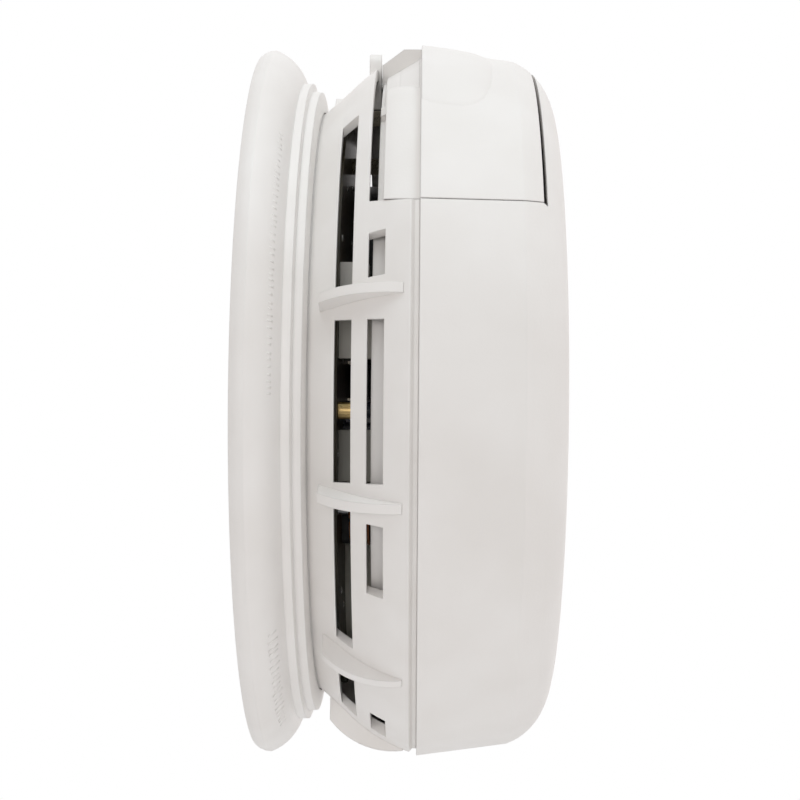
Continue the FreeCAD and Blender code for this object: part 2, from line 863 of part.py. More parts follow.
def on_circle(along, radius):
    """Return how far out a circle about the axis lies, at a place along the drawer."""
    lean = S.drawer_lean
    foot = along - S.hinge_x * cosine(lean) - S.hinge_y * sine(lean)
    rise = S.hinge_y * cosine(lean) - S.hinge_x * sine(lean)
    return root(radius * radius - foot * foot) - rise


def make_hinge_pin():
    publish(fuse([disc(HINGE, S.drawer_back - 2.6, EAR_TOP - 0.2, S.pin_r)]), "drawer_hinge_pin")


def drawer_block(along, out, length, thickness, low, high):
    """A box square to the battery, from its middle along and out."""
    centre = drawer_point(along, out)
    return block(centre, low, high, sized(length), sized(thickness), turn=LEAN_TURN)


def make_battery():
    """The nine-volt battery and its two snap terminals, which face the hinge."""
    middle_out = -S.battery_depth + S.battery_thick * 0.5
    case_long = S.battery_long - TERMINAL_LONG
    case_start = S.battery_start + TERMINAL_LONG
    body = new_body("battery")
    middle_z = (S.drawer_back + S.drawer_front) * 0.5
    low = middle_z - S.battery_wide * 0.5
    case = new_sketch(body, height=low)
    outline(case, drawer_outline(
        (case_start, middle_out - S.battery_thick * 0.5),
        (case_start + case_long, middle_out + S.battery_thick * 0.5)))
    pad(body, case, S.battery_wide)
    direction = drawer_point(1.0, 0.0)
    away = (direction[0].value - S.hinge_x.value, direction[1].value - S.hinge_y.value, 0.0)
    for label, side, radius in (("positive", 1, 2.9), ("negative", -1, 4.0)):
        spot = drawer_point(S.battery_start, middle_out)
        start = (spot[0], spot[1], middle_z + side * TERMINAL_APART * 0.5)
        post = rod(start, away, TERMINAL_LONG - 0.02, radius)
        publish(fuse([post]), f"battery_terminal_{label}")


def make_battery_contacts():
    """Two sprung strips that stand on the board and meet the battery's terminals."""
    along = S.battery_start - 0.55
    board = S.board_back + S.board_thick
    middle_z = (S.drawer_back + S.drawer_front) * 0.5
    upper = middle_z + TERMINAL_APART * 0.5
    lower = middle_z - TERMINAL_APART * 0.5
    tall = drawer_block(along, -4.6, 0.5, 3.0, board, upper + 2.4)
    tall_pad = drawer_block(along, -8.2, 0.5, 5.0, upper - 2.4, upper + 2.4)
    publish(fuse([tall, tall_pad]), "battery_contact_positive")
    short = drawer_block(along, -14.8, 0.5, 3.3, board, lower + 2.4)
    short_pad = drawer_block(along, -10.6, 0.5, 7.0, lower - 2.4, lower + 2.4)
    publish(fuse([short, short_pad]), "battery_contact_negative")


# ------------------------------------------------------------- the board and what it holds

def make_board():
    board = disc((0.0, 0.0), S.board_back, S.board_back + S.board_thick, S.board_r)
    holes = [
        disc(polar(BOARD_SCREW_R, turn), S.board_back - 1.0, S.board_back + 3.0, 1.7)
        for turn in BOARD_SCREW_ANGLES
    ]
    publish(cut(board, holes), "circuit_board")
    top = S.board_back + S.board_thick
    screws = []
    for turn in BOARD_SCREW_ANGLES:
        centre = polar(BOARD_SCREW_R, turn)
        head = disc(centre, top, top + 1.7, 2.8)
        shank = disc(centre, S.board_back - 2.0, top + 0.5, 1.08)
        slot = block(centre, top + 1.0, top + 2.0, sized(4.0), sized(0.7), turn)
        cross = block(centre, top + 1.0, top + 2.0, sized(4.0), sized(0.7), turn + 90)
        screws.append(cut(fuse([head, shank]), [slot, cross]))
    group("board_screws", screws)


def make_mains_socket():
    """The connector that the supply plug is pushed into from behind."""
    centre = (0.0, SOCKET_Y)
    back = S.base_back - 6.0
    length = sized(2 * SOCKET_HALF_LONG - 0.6)
    width = sized(2 * SOCKET_HALF_WIDE - 0.6)
    shell = block(centre, back, S.board_back - 0.05, length, width)
    cavity = block(centre, back - 1.0, back + 6.5, length - 3.2, width - 3.2)
    ways = [(-SOCKET_PITCH, SOCKET_Y), (0.0, SOCKET_Y), (SOCKET_PITCH, SOCKET_Y)]
    holes = [disc(way, back, S.board_back + 1.0, 0.82) for way in ways]
    publish(cut(shell, [cavity] + holes), "mains_socket")
    group("mains_pins", [disc(way, back + 1.2, S.board_back - 0.1, 0.8) for way in ways])


def make_chamber():
    """The sensing chamber: source, insulator, collector plate and slotted steel cover."""
    centre = (S.chamber_x, S.chamber_y)
    low = S.board_back + S.board_thick + 0.4
    legs = [
        disc((S.chamber_x + 19.0 * cosine(turn), S.chamber_y + 19.0 * sine(turn)),
             low - 0.35, low + 0.2, 1.2)
        for turn in (60, 180, 300)
    ]
    plate = disc(centre, low, low + 0.8, S.chamber_r)
    publish(fuse([plate] + legs), "chamber_base")
    publish(fuse([disc(centre, low + 0.8, low + 2.6, 5.0)]), "source_holder")
    publish(fuse([disc(centre, low + 2.6, low + 2.9, 2.5)]), "source_foil")
    wall = tube(centre, low + 0.8, low + 7.0, S.chamber_r, S.chamber_r - 2.0)
    publish(wall, "chamber_insulator")
    publish(tube(centre, low + 7.0, low + 7.6, S.chamber_r - 0.5, 3.5), "collector_plate")
    base = low + 7.6
    can = disc(centre, base, base + 12.0, S.chamber_r)
    inside = disc(centre, base - 1.0, base + 11.2, S.chamber_r - 0.8)
    windows = [
        block(centre, base + 2.5, base + 9.0, 3 * S.chamber_r, sized(3.2), turn)
        for turn in range(0, 180, 30)
    ]
    publish(cut(can, [inside] + windows), "chamber_cover")


def make_horn():
    """The sounder: a cup, a piezo disc, a resonator cap and three contact springs."""
    centre = (S.horn_x, S.horn_y)
    low = S.board_back + S.board_thick + 0.05
    deck = low + 19.4
    ways = [(S.horn_x + offset, S.horn_y) for offset in (-15.0, -8.0, 0.0)]
    cup = cut(
        disc(centre, low, deck, S.horn_r),
        [disc(centre, low - 1.0, deck - 1.5, S.horn_r - 1.5)]
        + [disc(way, deck - 3.0, deck + 1.0, 1.3) for way in ways],
    )
    publish(cup, "horn_cup")
    publish(fuse([disc(centre, deck + 0.1, deck + 0.35, S.horn_r - 2.4)]), "piezo_disc")
    publish(fuse([disc(centre, deck + 0.37, deck + 0.6, S.horn_r - 8.0)]), "piezo_ceramic")
    cap = cut(
        disc(centre, deck, deck + 13.0, S.horn_r),
        [
            disc(centre, deck - 1.0, deck + 11.5, S.horn_r - 2.0),
            disc(centre, deck + 10.0, deck + 14.0, 5.0),
        ],
    )
    publish(cap, "horn_cap")
    springs = [disc(way, low, deck + 0.05, 0.45) for way in ways]
    group("horn_contacts", springs)


def make_components():
    """The larger components on the board."""
    top = S.board_back + S.board_thick
    low = top + 0.05
    publish(fuse([block(DROPPER_AT, low, top + 12.0, sized(7.5), sized(9.0))]),
            "dropper_capacitor")
    publish(fuse([block(SNUBBER_AT, low, top + 8.0, sized(7.0), sized(8.0))]),
            "snubber_capacitor")
    group("electrolytic_capacitors",
          [disc(centre, low, top + 11.0, 4.0) for centre in ELECTROLYTICS_AT])
    publish(fuse([disc(INDUCTOR_AT, low, top + 9.0, 4.5)]), "horn_inductor")
    publish(fuse([block(CHIP_AT, top + 1.0, top + 4.2, sized(19.5), sized(6.4))]),
            "controller_chip")
    pins = []
    for index in range(CHIP_PINS_A_SIDE):
        for side in (-1, 1):
            shift = (index - (CHIP_PINS_A_SIDE - 1) * 0.5) * CHIP_PIN_PITCH
            centre = (CHIP_AT[0] + shift, CHIP_AT[1] + side * 3.65)
            pins.append(block(centre, low, top + 2.6, sized(0.5), sized(0.45)))
    group("chip_pins", pins)
    group("resistors", [
        rod((FIRST_RESISTOR[0] + RESISTOR_PITCH * index, FIRST_RESISTOR[1], top + 1.3),
            (0, -1, 0), 6.3, 1.15)
        for index in range(RESISTORS)
    ])
    group("diodes", [
        rod((FIRST_DIODE[0] + DIODE_PITCH * index, FIRST_DIODE[1], top + 1.4),
            (0, -1, 0), 4.4, 1.3)
        for index in range(DIODES)
    ])
    publish(fuse([rod((*VARISTOR_AT, top + 5.6), (1, 0, 0), 3.6, 5.0)]), "surge_varistor")
    body = disc(TRANSISTOR_AT, top + 1.5, top + 6.5, 2.3)
    flat_side = (TRANSISTOR_AT[0], TRANSISTOR_AT[1] - 2.5)
    face = block(flat_side, top + 1.0, top + 7.0, sized(6.0), sized(2.6))
    publish(cut(body, [face]), "horn_transistor")
    publish(fuse([block(RELAY_AT, low, top + 5.0, sized(8.0), sized(6.4))]), "supply_relay")
    group("wire_eyelets", [tube(way, low, top + 2.2, 1.5, 0.7) for way in EYELETS_AT])


def make_indicator():
    """The lamp on the board and the clear rod that carries its light to the face."""
    low = S.board_back + S.board_thick + 0.05
    flange = disc(LENS_AT, low, low + 1.0, 1.75)
    stem = disc(LENS_AT, low, low + 5.0, 1.5)
    publish(fuse([flange, stem]), "indicator_lamp")
    publish(fuse([disc(LENS_AT, low + 6.0, S.crown_z - 0.2, 1.6)]), "indicator_lens")


def make_test_button():
    """The sprung test button, and the switch blade that it presses."""
    centre = (S.button_x, S.button_y)
    travel = S.button_travel
    flange_top = S.face_z - S.skin - 4.0 - S.gap
    cap = disc(centre, flange_top - 1.4, S.crown_z + 0.5, S.button_r)
    flange = disc(centre, flange_top - 1.4, flange_top, S.button_r + 1.6)
    hollow = disc(centre, flange_top - 2.0, S.crown_z - 1.2, S.button_r - 1.3)
    stem = disc(centre, flange_top - 18.0, S.crown_z - 0.5, 1.9)
    publish(fuse([cut(fuse([cap, flange]), [hollow]), stem]), "test_button")
    blade_top = flange_top - 18.0 - travel - S.gap
    board = S.board_back + S.board_thick
    leaf = block(centre, blade_top - 0.4, blade_top, sized(16.0), sized(4.0))
    post = block((S.button_x - 7.8, S.button_y), board + 0.02, blade_top, sized(0.4), sized(4.0))
    publish(fuse([leaf, post]), "test_switch_blade")
    anvil = block((S.button_x + 6.0, S.button_y), board + 0.02, blade_top - 2.0,
                  sized(3.0), sized(3.0))
    publish(fuse([anvil]), "test_switch_anvil")


def check_all():
    """Stop if any object failed or any piece is not a sound solid."""
    DOC.recompute()
    for item in DOC.Objects:
        if "Invalid" in item.State or "Error" in item.State:
            raise RuntimeError(f"{item.Label} failed: {item.State}")
    for piece in PIECES:
        if piece.Shape.isNull() or not piece.Shape.isValid():
            raise RuntimeError(f"{piece.Label} has no sound shape")


def main():
    make_bracket()
    make_base()
    make_cover()
    make_drawer()
    make_hinge_pin()
    make_battery()
    make_battery_contacts()
    make_board()
    make_mains_socket()
    make_chamber()
    make_horn()
    make_components()
    make_indicator()
    make_test_button()
    check_all()
    os.makedirs("parts", exist_ok=True)
    for piece in PIECES:
        piece.Shape.exportStep(f"parts/{piece.Label}.step")
        print(f"{piece.Label}: {len(piece.Shape.Solids)} solids, {piece.Shape.Volume:.0f} mm3")


main()
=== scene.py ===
import math
import random

import bmesh
import bpy
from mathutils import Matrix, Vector
from mathutils.bvhtree import BVHTree


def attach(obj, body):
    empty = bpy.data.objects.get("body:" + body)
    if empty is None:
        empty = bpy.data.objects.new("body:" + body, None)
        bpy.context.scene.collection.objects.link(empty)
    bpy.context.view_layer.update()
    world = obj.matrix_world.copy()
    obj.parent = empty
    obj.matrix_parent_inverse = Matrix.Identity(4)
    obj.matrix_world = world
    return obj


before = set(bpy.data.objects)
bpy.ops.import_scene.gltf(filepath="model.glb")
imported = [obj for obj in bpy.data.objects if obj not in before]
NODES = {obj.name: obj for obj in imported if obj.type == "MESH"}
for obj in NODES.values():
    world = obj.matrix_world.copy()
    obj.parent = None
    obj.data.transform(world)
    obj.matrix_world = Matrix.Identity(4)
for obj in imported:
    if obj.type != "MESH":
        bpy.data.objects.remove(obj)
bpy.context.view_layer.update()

random.seed(7)
MM = 0.001

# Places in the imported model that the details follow, in mm.
COVER_RADIUS, SEAM_D = 71.1, 31.0
SHOULDER_RADIUS, SHOULDER_D = 68.7, 48.7
HINGE_X, HINGE_Y = -4.46, 63.84
DRAWER_LEAN = math.radians(28.2)
BATTERY_DEPTH = 17.4
BOARD_TOP = 17.0
RESISTORS, RESISTOR_X, RESISTOR_PITCH, RESISTOR_Y = 6, 24.0, 4.0, -16.15
DIODES, DIODE_X, DIODE_PITCH, DIODE_Y = 4, 27.0, 4.2, -26.2
ELECTROLYTICS, ELECTROLYTIC_HIGH = ((-20.0, -4.0), (-33.0, -8.0)), 11.0
INDUCTOR_X, INDUCTOR_Y = -31.0, -22.0

# The thumb-shaped swelling at the drawer's free corner, in mm and degrees.
LIP_D, LIP_ANGLE, LIP_RISE = 35.5, 66.0, 1.05
LIP_HALF_WIDTH, LIP_SPAN_ABOVE, LIP_SPAN_BELOW = 8.7, 12.5, 17.8


def spot(x, y, d):
    """A point given in mm as sideways, up and distance from the wall, in the row frame."""
    return Vector((x * MM, -d * MM, y * MM))


# ---------------------------------------------------------------- materials

def shader(name):
    """A new material, with its Principled shader and a maker of linked nodes."""
    made = bpy.data.materials.new(name)
    made.use_nodes = True
    tree = made.node_tree
    main = tree.nodes["Principled BSDF"]

    def node(kind, **values):
        new = tree.nodes.new(kind)
        for key, value in values.items():
            if key.startswith("in_"):
                slot = key[3:]
                target = new.inputs[int(slot)] if slot.isdigit() else new.inputs[slot]
                if isinstance(value, bpy.types.NodeSocket):
                    tree.links.new(value, target)
                else:
                    target.default_value = value
            else:
                setattr(new, key, value)
        return new

    return made, main, node, tree.links


def grain(node, size, detail=3.0, stretch=None):
    """Noise whose features are about size mm across."""
    where = node("ShaderNodeTexCoord").outputs["Object"]
    if stretch:
        where = node("ShaderNodeMapping", in_Vector=where, in_Scale=stretch).outputs[0]
    made = node("ShaderNodeTexNoise", in_Vector=where, in_Scale=1000.0 / size,
                in_Detail=detail, in_Roughness=0.55)
    return made.outputs["Fac"]


def between(node, amount, low, high, start=0.3, stop=0.7):
    """amount's range start..stop mapped onto low..high."""
    made = node("ShaderNodeMapRange", in_Value=amount)
    made.inputs["From Min"].default_value = start
    made.inputs["From Max"].default_value = stop
    made.inputs["To Min"].default_value = low
    made.inputs["To Max"].default_value = high
    return made.outputs[0]


def blend_colours(node, amount, low, high):
    made = node("ShaderNodeMix", data_type="RGBA")
    made.inputs[6].default_value = (*low, 1.0)
    made.inputs[7].default_value = (*high, 1.0)
    links = made.id_data.links
    links.new(amount, made.inputs[0])
    return made.outputs[2]


def raise_from(node, links, main, height, strength, distance, under=None):
    made = node("ShaderNodeBump")
    made.inputs["Strength"].default_value = strength
    made.inputs["Distance"].default_value = distance * MM
    links.new(height, made.inputs["Height"])
    if under is not None:
        links.new(under, made.inputs["Normal"])
    links.new(made.outputs[0], main.inputs["Normal"])
    return made.outputs[0]


def moulded(name, low, high, rough, size=0.5, depth=0.02, wave=0.15, patch=22.0, sheen=0.5,
            edge=0.0):
    """Moulded plastic: spark-eroded grain, slow flow marks and a faint change of tone."""
    made, main, node, links = shader(name)
    fine = grain(node, size, 4.0)
    slow = grain(node, patch, 2.0)
    links.new(blend_colours(node, between(node, slow, 0.0, 1.0), low, high),
              main.inputs["Base Color"])
    links.new(between(node, fine, rough - 0.06, rough + 0.06), main.inputs["Roughness"])
    soft = None
    if edge:
        soft = node("ShaderNodeBevel", in_Radius=edge * MM, samples=6).outputs[0]
    waves = raise_from(node, links, main, slow, 0.5, wave, soft)
    raise_from(node, links, main, fine, 0.7, depth, waves)
    main.inputs["Specular IOR Level"].default_value = sheen
    return made


def metal(name, low, high, rough, size=0.8, stretch=None, depth=0.01):
    """Metal with brushed or rolled grain and slight tarnish."""
    made, main, node, links = shader(name)
    fine = grain(node, size, 5.0, stretch)
    patchy = grain(node, 6.0, 3.0)
    links.new(blend_colours(node, between(node, patchy, 0.0, 1.0), low, high),
              main.inputs["Base Color"])
    links.new(between(node, fine, rough - 0.08, rough + 0.1), main.inputs["Roughness"])
    raise_from(node, links, main, fine, 0.6, depth)
    main.inputs["Metallic"].default_value = 1.0
    return made


def coated(name, low, high, rough, size=1.5, coat=0.4, depth=0.02):
    """Dipped, sleeved or lacquered part with an uneven glossy skin."""
    made = moulded(name, low, high, rough, size, depth, 0.08, 4.0)
    made.node_tree.nodes["Principled BSDF"].inputs["Coat Weight"].default_value = coat
    made.node_tree.nodes["Principled BSDF"].inputs["Coat Roughness"].default_value = 0.12
    return made


WHITE_LOW, WHITE_HIGH = (0.80, 0.775, 0.75), (0.84, 0.82, 0.80)
M = {
    "bracket": moulded("bracket_abs", WHITE_LOW, WHITE_HIGH, 0.42, 0.9, 0.008, 0.12, 16.0,
                       edge=0.4),
    "marks": moulded("bracket_marks", WHITE_LOW, WHITE_HIGH, 0.42, 0.9, 0.008, 0.12, 16.0),
    "base": moulded("base_abs", WHITE_LOW, WHITE_HIGH, 0.40, 1.0, 0.008, 0.10, 12.0,
                    edge=0.3),
    "cover": moulded("cover_textured_abs", WHITE_LOW, WHITE_HIGH, 0.48, 0.55, 0.030, 0.12, 18.0,
                     edge=0.4),
    "nylon": moulded("white_nylon", (0.70, 0.68, 0.63), (0.76, 0.74, 0.69), 0.45, 0.8, 0.015),
    "horn": moulded("horn_nylon", (0.62, 0.60, 0.52), (0.68, 0.66, 0.58), 0.5, 0.8, 0.015),
    "grey": moulded("grey_box_plastic", (0.30, 0.29, 0.25), (0.36, 0.345, 0.30), 0.4, 0.6, 0.02),
    "beige": moulded("beige_box_plastic", (0.50, 0.47, 0.41), (0.56, 0.53, 0.47), 0.4, 0.6, 0.02),
    "black": moulded("black_epoxy", (0.012, 0.012, 0.012), (0.03, 0.03, 0.028), 0.45, 0.3, 0.03),
    # The board's colour is partly its own dark laminate tone and partly painted shade: it is
    # darkened well below plain laminate brown for the dim inside of the alarm.
    "board": coated("board_laminate_and_painted_shade", (0.045, 0.034, 0.018), (0.07, 0.052, 0.026), 0.5, 0.6, 0.15),
    "zinc": metal("zinc_steel", (0.55, 0.56, 0.58), (0.68, 0.68, 0.66), 0.35),
    "steel": metal("stainless_steel", (0.50, 0.50, 0.49), (0.62, 0.61, 0.60), 0.28, 0.5,
                   (1.0, 1.0, 0.06)),
    "brass": metal("brass", (0.55, 0.38, 0.15), (0.70, 0.52, 0.25), 0.32),
    "bronze": metal("tinned_bronze", (0.58, 0.52, 0.42), (0.70, 0.64, 0.54), 0.3),
    "nickel": metal("bright_nickel", (0.62, 0.60, 0.57), (0.74, 0.72, 0.69), 0.18),
    "ceramic": moulded("piezo_ceramic", (0.60, 0.58, 0.54), (0.68, 0.66, 0.62), 0.35, 0.3, 0.01),
    "sleeve": coated("capacitor_sleeve", (0.010, 0.012, 0.03), (0.02, 0.025, 0.05), 0.3),
    "blue": coated("blue_varnish", (0.02, 0.08, 0.22), (0.04, 0.12, 0.30), 0.3),
    "tan": coated("tan_varnish", (0.42, 0.28, 0.13), (0.52, 0.37, 0.19), 0.35),
    "wrap": coated("battery_wrap", (0.012, 0.012, 0.014), (0.02, 0.02, 0.023), 0.28),
    "band": coated("ochre_band", (0.30, 0.17, 0.04), (0.38, 0.23, 0.07), 0.35),
    "silver_band": metal("silver_band", (0.58, 0.58, 0.58), (0.68, 0.68, 0.68), 0.4),
    "aluminium": metal("aluminium_can", (0.68, 0.68, 0.68), (0.78, 0.78, 0.78), 0.3),
    "copper": coated("enamelled_copper", (0.42, 0.14, 0.05), (0.52, 0.2, 0.08), 0.3),
    "solder": metal("solder", (0.55, 0.55, 0.54), (0.66, 0.66, 0.65), 0.25, 0.4),
    "green": coated("green_lamp_epoxy", (0.03, 0.30, 0.06), (0.05, 0.42, 0.10), 0.2),
}


def clear_plastic(name):
    made, main, node, links = shader(name)
    links.new(between(node, grain(node, 2.0), 0.05, 0.14), main.inputs["Roughness"])
    main.inputs["Base Color"].default_value = (0.88, 0.93, 0.90, 1.0)
    main.inputs["Transmission Weight"].default_value = 0.85
    main.inputs["IOR"].default_value = 1.49
    return made


M["clear"] = clear_plastic("clear_acrylic")

WORN_BY = {
    "mounting_bracket": "bracket", "base_housing": "base", "front_cover": "cover",
    "battery_drawer": "cover", "drawer_hinge_pin": "steel", "battery": "wrap",
    "battery_terminal_positive": "nickel", "battery_terminal_negative": "nickel",
    "battery_contact_positive": "bronze", "battery_contact_negative": "bronze",
    "circuit_board": "board", "board_screws": "zinc", "mains_socket": "nylon",
    "mains_pins": "bronze", "chamber_base": "black", "source_holder": "brass",
    "source_foil": "brass", "chamber_insulator": "black", "collector_plate": "steel",
    "chamber_cover": "steel", "horn_cup": "horn", "piezo_disc": "brass",
    "piezo_ceramic": "ceramic", "horn_cap": "horn", "horn_contacts": "bronze",
    "dropper_capacitor": "grey", "snubber_capacitor": "beige",
    "electrolytic_capacitors": "sleeve", "horn_inductor": "black",
    "controller_chip": "black", "chip_pins": "bronze", "resistors": "tan",
    "diodes": "black", "surge_varistor": "blue", "horn_transistor": "black",
    "supply_relay": "nylon", "wire_eyelets": "brass", "indicator_lamp": "green",
    "indicator_lens": "clear", "test_button": "cover", "test_switch_blade": "bronze",
    "test_switch_anvil": "grey",
}
for name, node in NODES.items():
    node.data.materials.clear()
    node.data.materials.append(M[WORN_BY[name]])


# ---------------------------------------------------------------- pieces

def piece(name, mesh, material, body, smooth=True, bevel=0.0):
    """A detail piece from a bmesh, riding on a CAD body."""
    bmesh.ops.recalc_face_normals(mesh, faces=mesh.faces)
    data = bpy.data.meshes.new(name)
    mesh.to_mesh(data)
    mesh.free()
    made = bpy.data.objects.new(name, data)
    bpy.context.scene.collection.objects.link(made)
    data.materials.append(M[material])
    for face in data.polygons:
        face.use_smooth = smooth
    if bevel:
        rounded = made.modifiers.new("edges", "BEVEL")
        rounded.width = bevel * MM
        rounded.segments = 2
        rounded.limit_method = "ANGLE"
    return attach(made, body)


def skin_radius(d):
    """Radius of the cover's side at a distance d from the wall."""
    slope = (SHOULDER_RADIUS - COVER_RADIUS) / (SHOULDER_D - SEAM_D)
    return COVER_RADIUS + slope * (d - SEAM_D)


def ring_spot(radius, angle, d):
    """A point by its radius, its angle in degrees up from level on the -X side, and d."""
    turn = math.radians(angle)
    return spot(-radius * math.cos(turn), radius * math.sin(turn), d)


TREES = {}


def land(name, start, aim):
    """Where a line from start towards aim first meets a CAD node, and the surface normal."""
    if name not in TREES:
        TREES[name] = BVHTree.FromObject(NODES[name], bpy.context.evaluated_depsgraph_get())
    place, normal, _, _ = TREES[name].ray_cast(start, (aim - start).normalized())
    return place, normal


def grid_patch(mesh, top, bottom):
    """A closed patch between two grids of points of the same size."""
    layers = [[[mesh.verts.new(p) for p in row] for row in layer] for layer in (top, bottom)]
    rows, columns = len(top), len(top[0])
    for layer in layers:
        for i in range(rows - 1):
            for j in range(columns - 1):
                mesh.faces.new((layer[i][j], layer[i + 1][j], layer[i + 1][j + 1], layer[i][j + 1]))
    upper, lower = layers
    rim = ([(i, 0) for i in range(rows)] + [(rows - 1, j) for j in range(1, columns)]
           + [(i, columns - 1) for i in range(rows - 2, -1, -1)]
           + [(0, j) for j in range(columns - 2, 0, -1)])
    for (i, j), (k, m) in zip(rim, rim[1:] + rim[:1]):
        mesh.faces.new((upper[i][j], upper[k][m], lower[k][m], lower[i][j]))


def tube_along(mesh, points, radius, sides=10):
    """A closed round tube through points of the row frame, its radius in mm."""
    rings = []
    for i, place in enumerate(points):
        ahead = points[min(i + 1, len(points) - 1)] - points[max(i - 1, 0)]
        lean = ahead.to_track_quat("Z", "Y")
        rings.append([mesh.verts.new(place + lean @ Vector((
            radius * MM * math.cos(a), radius * MM * math.sin(a), 0.0)))
            for a in [2 * math.pi * k / sides for k in range(sides)]])
    for low, high in zip(rings, rings[1:]):
        for k in range(sides):
            mesh.faces.new((low[k], low[(k + 1) % sides], high[(k + 1) % sides], high[k]))
    mesh.faces.new(list(reversed(rings[0])))
    mesh.faces.new(rings[-1])


def lathe(mesh, centre, axis, profile, sides=48):
    """A closed body turned about axis through centre, from a loop of (radius, height) in mm."""
    lean = Vector(axis).to_track_quat("Z", "Y")
    rings = []
    for k in range(sides):
        a = 2 * math.pi * k / sides
        rings.append([mesh.verts.new(centre + lean @ Vector((
            r * MM * math.cos(a), r * MM * math.sin(a), h * MM))) for r, h in profile])
    for k in range(sides):
        here, there = rings[k], rings[(k + 1) % sides]
        for m in range(len(profile)):
            n = (m + 1) % len(profile)
            mesh.faces.new((here[m], here[n], there[n], there[m]))


def slab(mesh, centre, along, across, length, width, height):
    """A low bar with sloping sides that stands on a surface; sizes in mm."""
    up = along.cross(across).normalized()
    low, high = [], []
    for sx, sy in ((-1, -1), (1, -1), (1, 1), (-1, 1)):
        low.append(mesh.verts.new(centre + (along * sx * length + across * sy * width)
                                  * 0.5 * MM - up * height * MM))
        high.append(mesh.verts.new(centre + (along * sx * (length - height)
                                             + across * sy * max(width - height, 0.1))
                                   * 0.5 * MM + up * height * MM))
    mesh.faces.new(list(reversed(low)))
    mesh.faces.new(high)
    for k in range(4):
        mesh.faces.new((low[k], low[(k + 1) % 4], high[(k + 1) % 4], high[k]))


def make_lip():
    """The swelling that a thumb pulls the drawer open by."""
    rows, columns = 64, 84
    outer, inner = [], []
    for i in range(rows):
        d = SEAM_D + 0.05 + (44.4 - SEAM_D - 0.05) * i / (rows - 1)
        base = skin_radius(d) * math.cos(math.radians(0.2))
        outer.append([])
        inner.append([])
        for j in range(columns):
            angle = 46.0 + 35.0 * j / (columns - 1)
            across = abs((d - LIP_D) / LIP_HALF_WIDTH)
            span = LIP_SPAN_ABOVE if angle > LIP_ANGLE else LIP_SPAN_BELOW
            reach = across ** 3 + abs((angle - LIP_ANGLE) / span) ** 3
            rise = LIP_RISE * (1.0 - reach) ** 0.75 if reach < 1 else -0.12
            outer[-1].append(ring_spot(base + rise, angle, d))
            inner[-1].append(ring_spot(base - 0.5, angle, d))
    lip = bmesh.new()
    grid_patch(lip, outer, inner)
    piece("finger_lip", lip, "cover", "battery_drawer_body")


def strokes(name, first, last, step, long, wide, high, radius, d):
    """A row of plain raised strokes on the trim ring, between two angles."""
    mesh = bmesh.new()
    angle = first
    while angle < last:
        out = ring_spot(1.0, angle, d) - spot(0, 0, d)
        place, normal = land("mounting_bracket", ring_spot(radius + 13.0, angle, d + 15.4),
                             ring_spot(radius, angle, d))
        if place is not None:
            around = Vector((0, 1, 0)).cross(out).normalized()
            along = around.cross(normal).normalized()
            slab(mesh, place, along, normal.cross(along), long * random.uniform(0.6, 1.0),
                 wide, high)
        angle += step * random.uniform(0.8, 1.5)
    return piece(name, mesh, "marks", "bracket")


make_lip()
strokes("rim_ticks", 1.0, 44.0, 0.95, 1.5, 0.4, 0.018, 67.6, 6.5)
strokes("rim_grip", -62.0, -36.0, 1.15, 2.6, 0.5, 0.025, 67.8, 6.2)



# ---------------------------------------------------------------- details on the board

def make_leads():
    """The wires of resistors, diodes, transistor and varistor, bent down to the board."""
    leads = bmesh.new()
    for k in range(RESISTORS):
        x = RESISTOR_X + RESISTOR_PITCH * k
        for side in (-1, 1):
            y = RESISTOR_Y + side * 3.2
            tube_along(leads, [spot(x, y, BOARD_TOP + 1.3),
                               spot(x, y + side * 1.0, BOARD_TOP + 1.3),
                               spot(x, y + side * 1.35, BOARD_TOP + 0.95),
                               spot(x, y + side * 1.4, BOARD_TOP - 0.2)], 0.3, 8)
    for k in range(DIODES):
        x = DIODE_X + DIODE_PITCH * k
        for side in (-1, 1):
            y = DIODE_Y + side * 2.25
            tube_along(leads, [spot(x, y, BOARD_TOP + 1.4),
                               spot(x, y + side * 1.1, BOARD_TOP + 1.4),
                               spot(x, y + side * 1.45, BOARD_TOP + 1.0),
                               spot(x, y + side * 1.5, BOARD_TOP - 0.2)], 0.35, 8)
    for x in (14.6, 17.0, 19.4):
        tube_along(leads, [spot(x * 0.6 + 6.8, -6.0, BOARD_TOP + 1.7),
                           spot(x, -6.0, BOARD_TOP - 0.2)], 0.28, 8)
    for x in (27.5, 30.1):
        tube_along(leads, [spot(x + 0.2, -37.0, BOARD_TOP + 1.4),
                           spot(x, -37.0, BOARD_TOP - 0.2)], 0.4, 8)
    piece("component_leads", leads, "bronze", "alarm")


def make_bands():
    """The painted bands of the resistors and diodes."""
    bands = bmesh.new()
    for k in range(RESISTORS):
        x = RESISTOR_X + RESISTOR_PITCH * k
        for shift in (-2.1, -1.0, 0.1, 2.0):
            lathe(bands, spot(x, RESISTOR_Y + shift, BOARD_TOP + 1.3), (0, 0, 1),
                  [(1.0, -0.28), (1.19, -0.28), (1.19, 0.28), (1.0, 0.28)], 24)
    piece("resistor_bands", bands, "band", "alarm")
    rings = bmesh.new()
    for k in range(DIODES):
        lathe(rings, spot(DIODE_X + DIODE_PITCH * k, DIODE_Y - 1.2, BOARD_TOP + 1.4), (0, 0, 1),
              [(1.1, -0.3), (1.34, -0.3), (1.34, 0.3), (1.1, 0.3)], 24)
    piece("diode_bands", rings, "silver_band", "alarm")


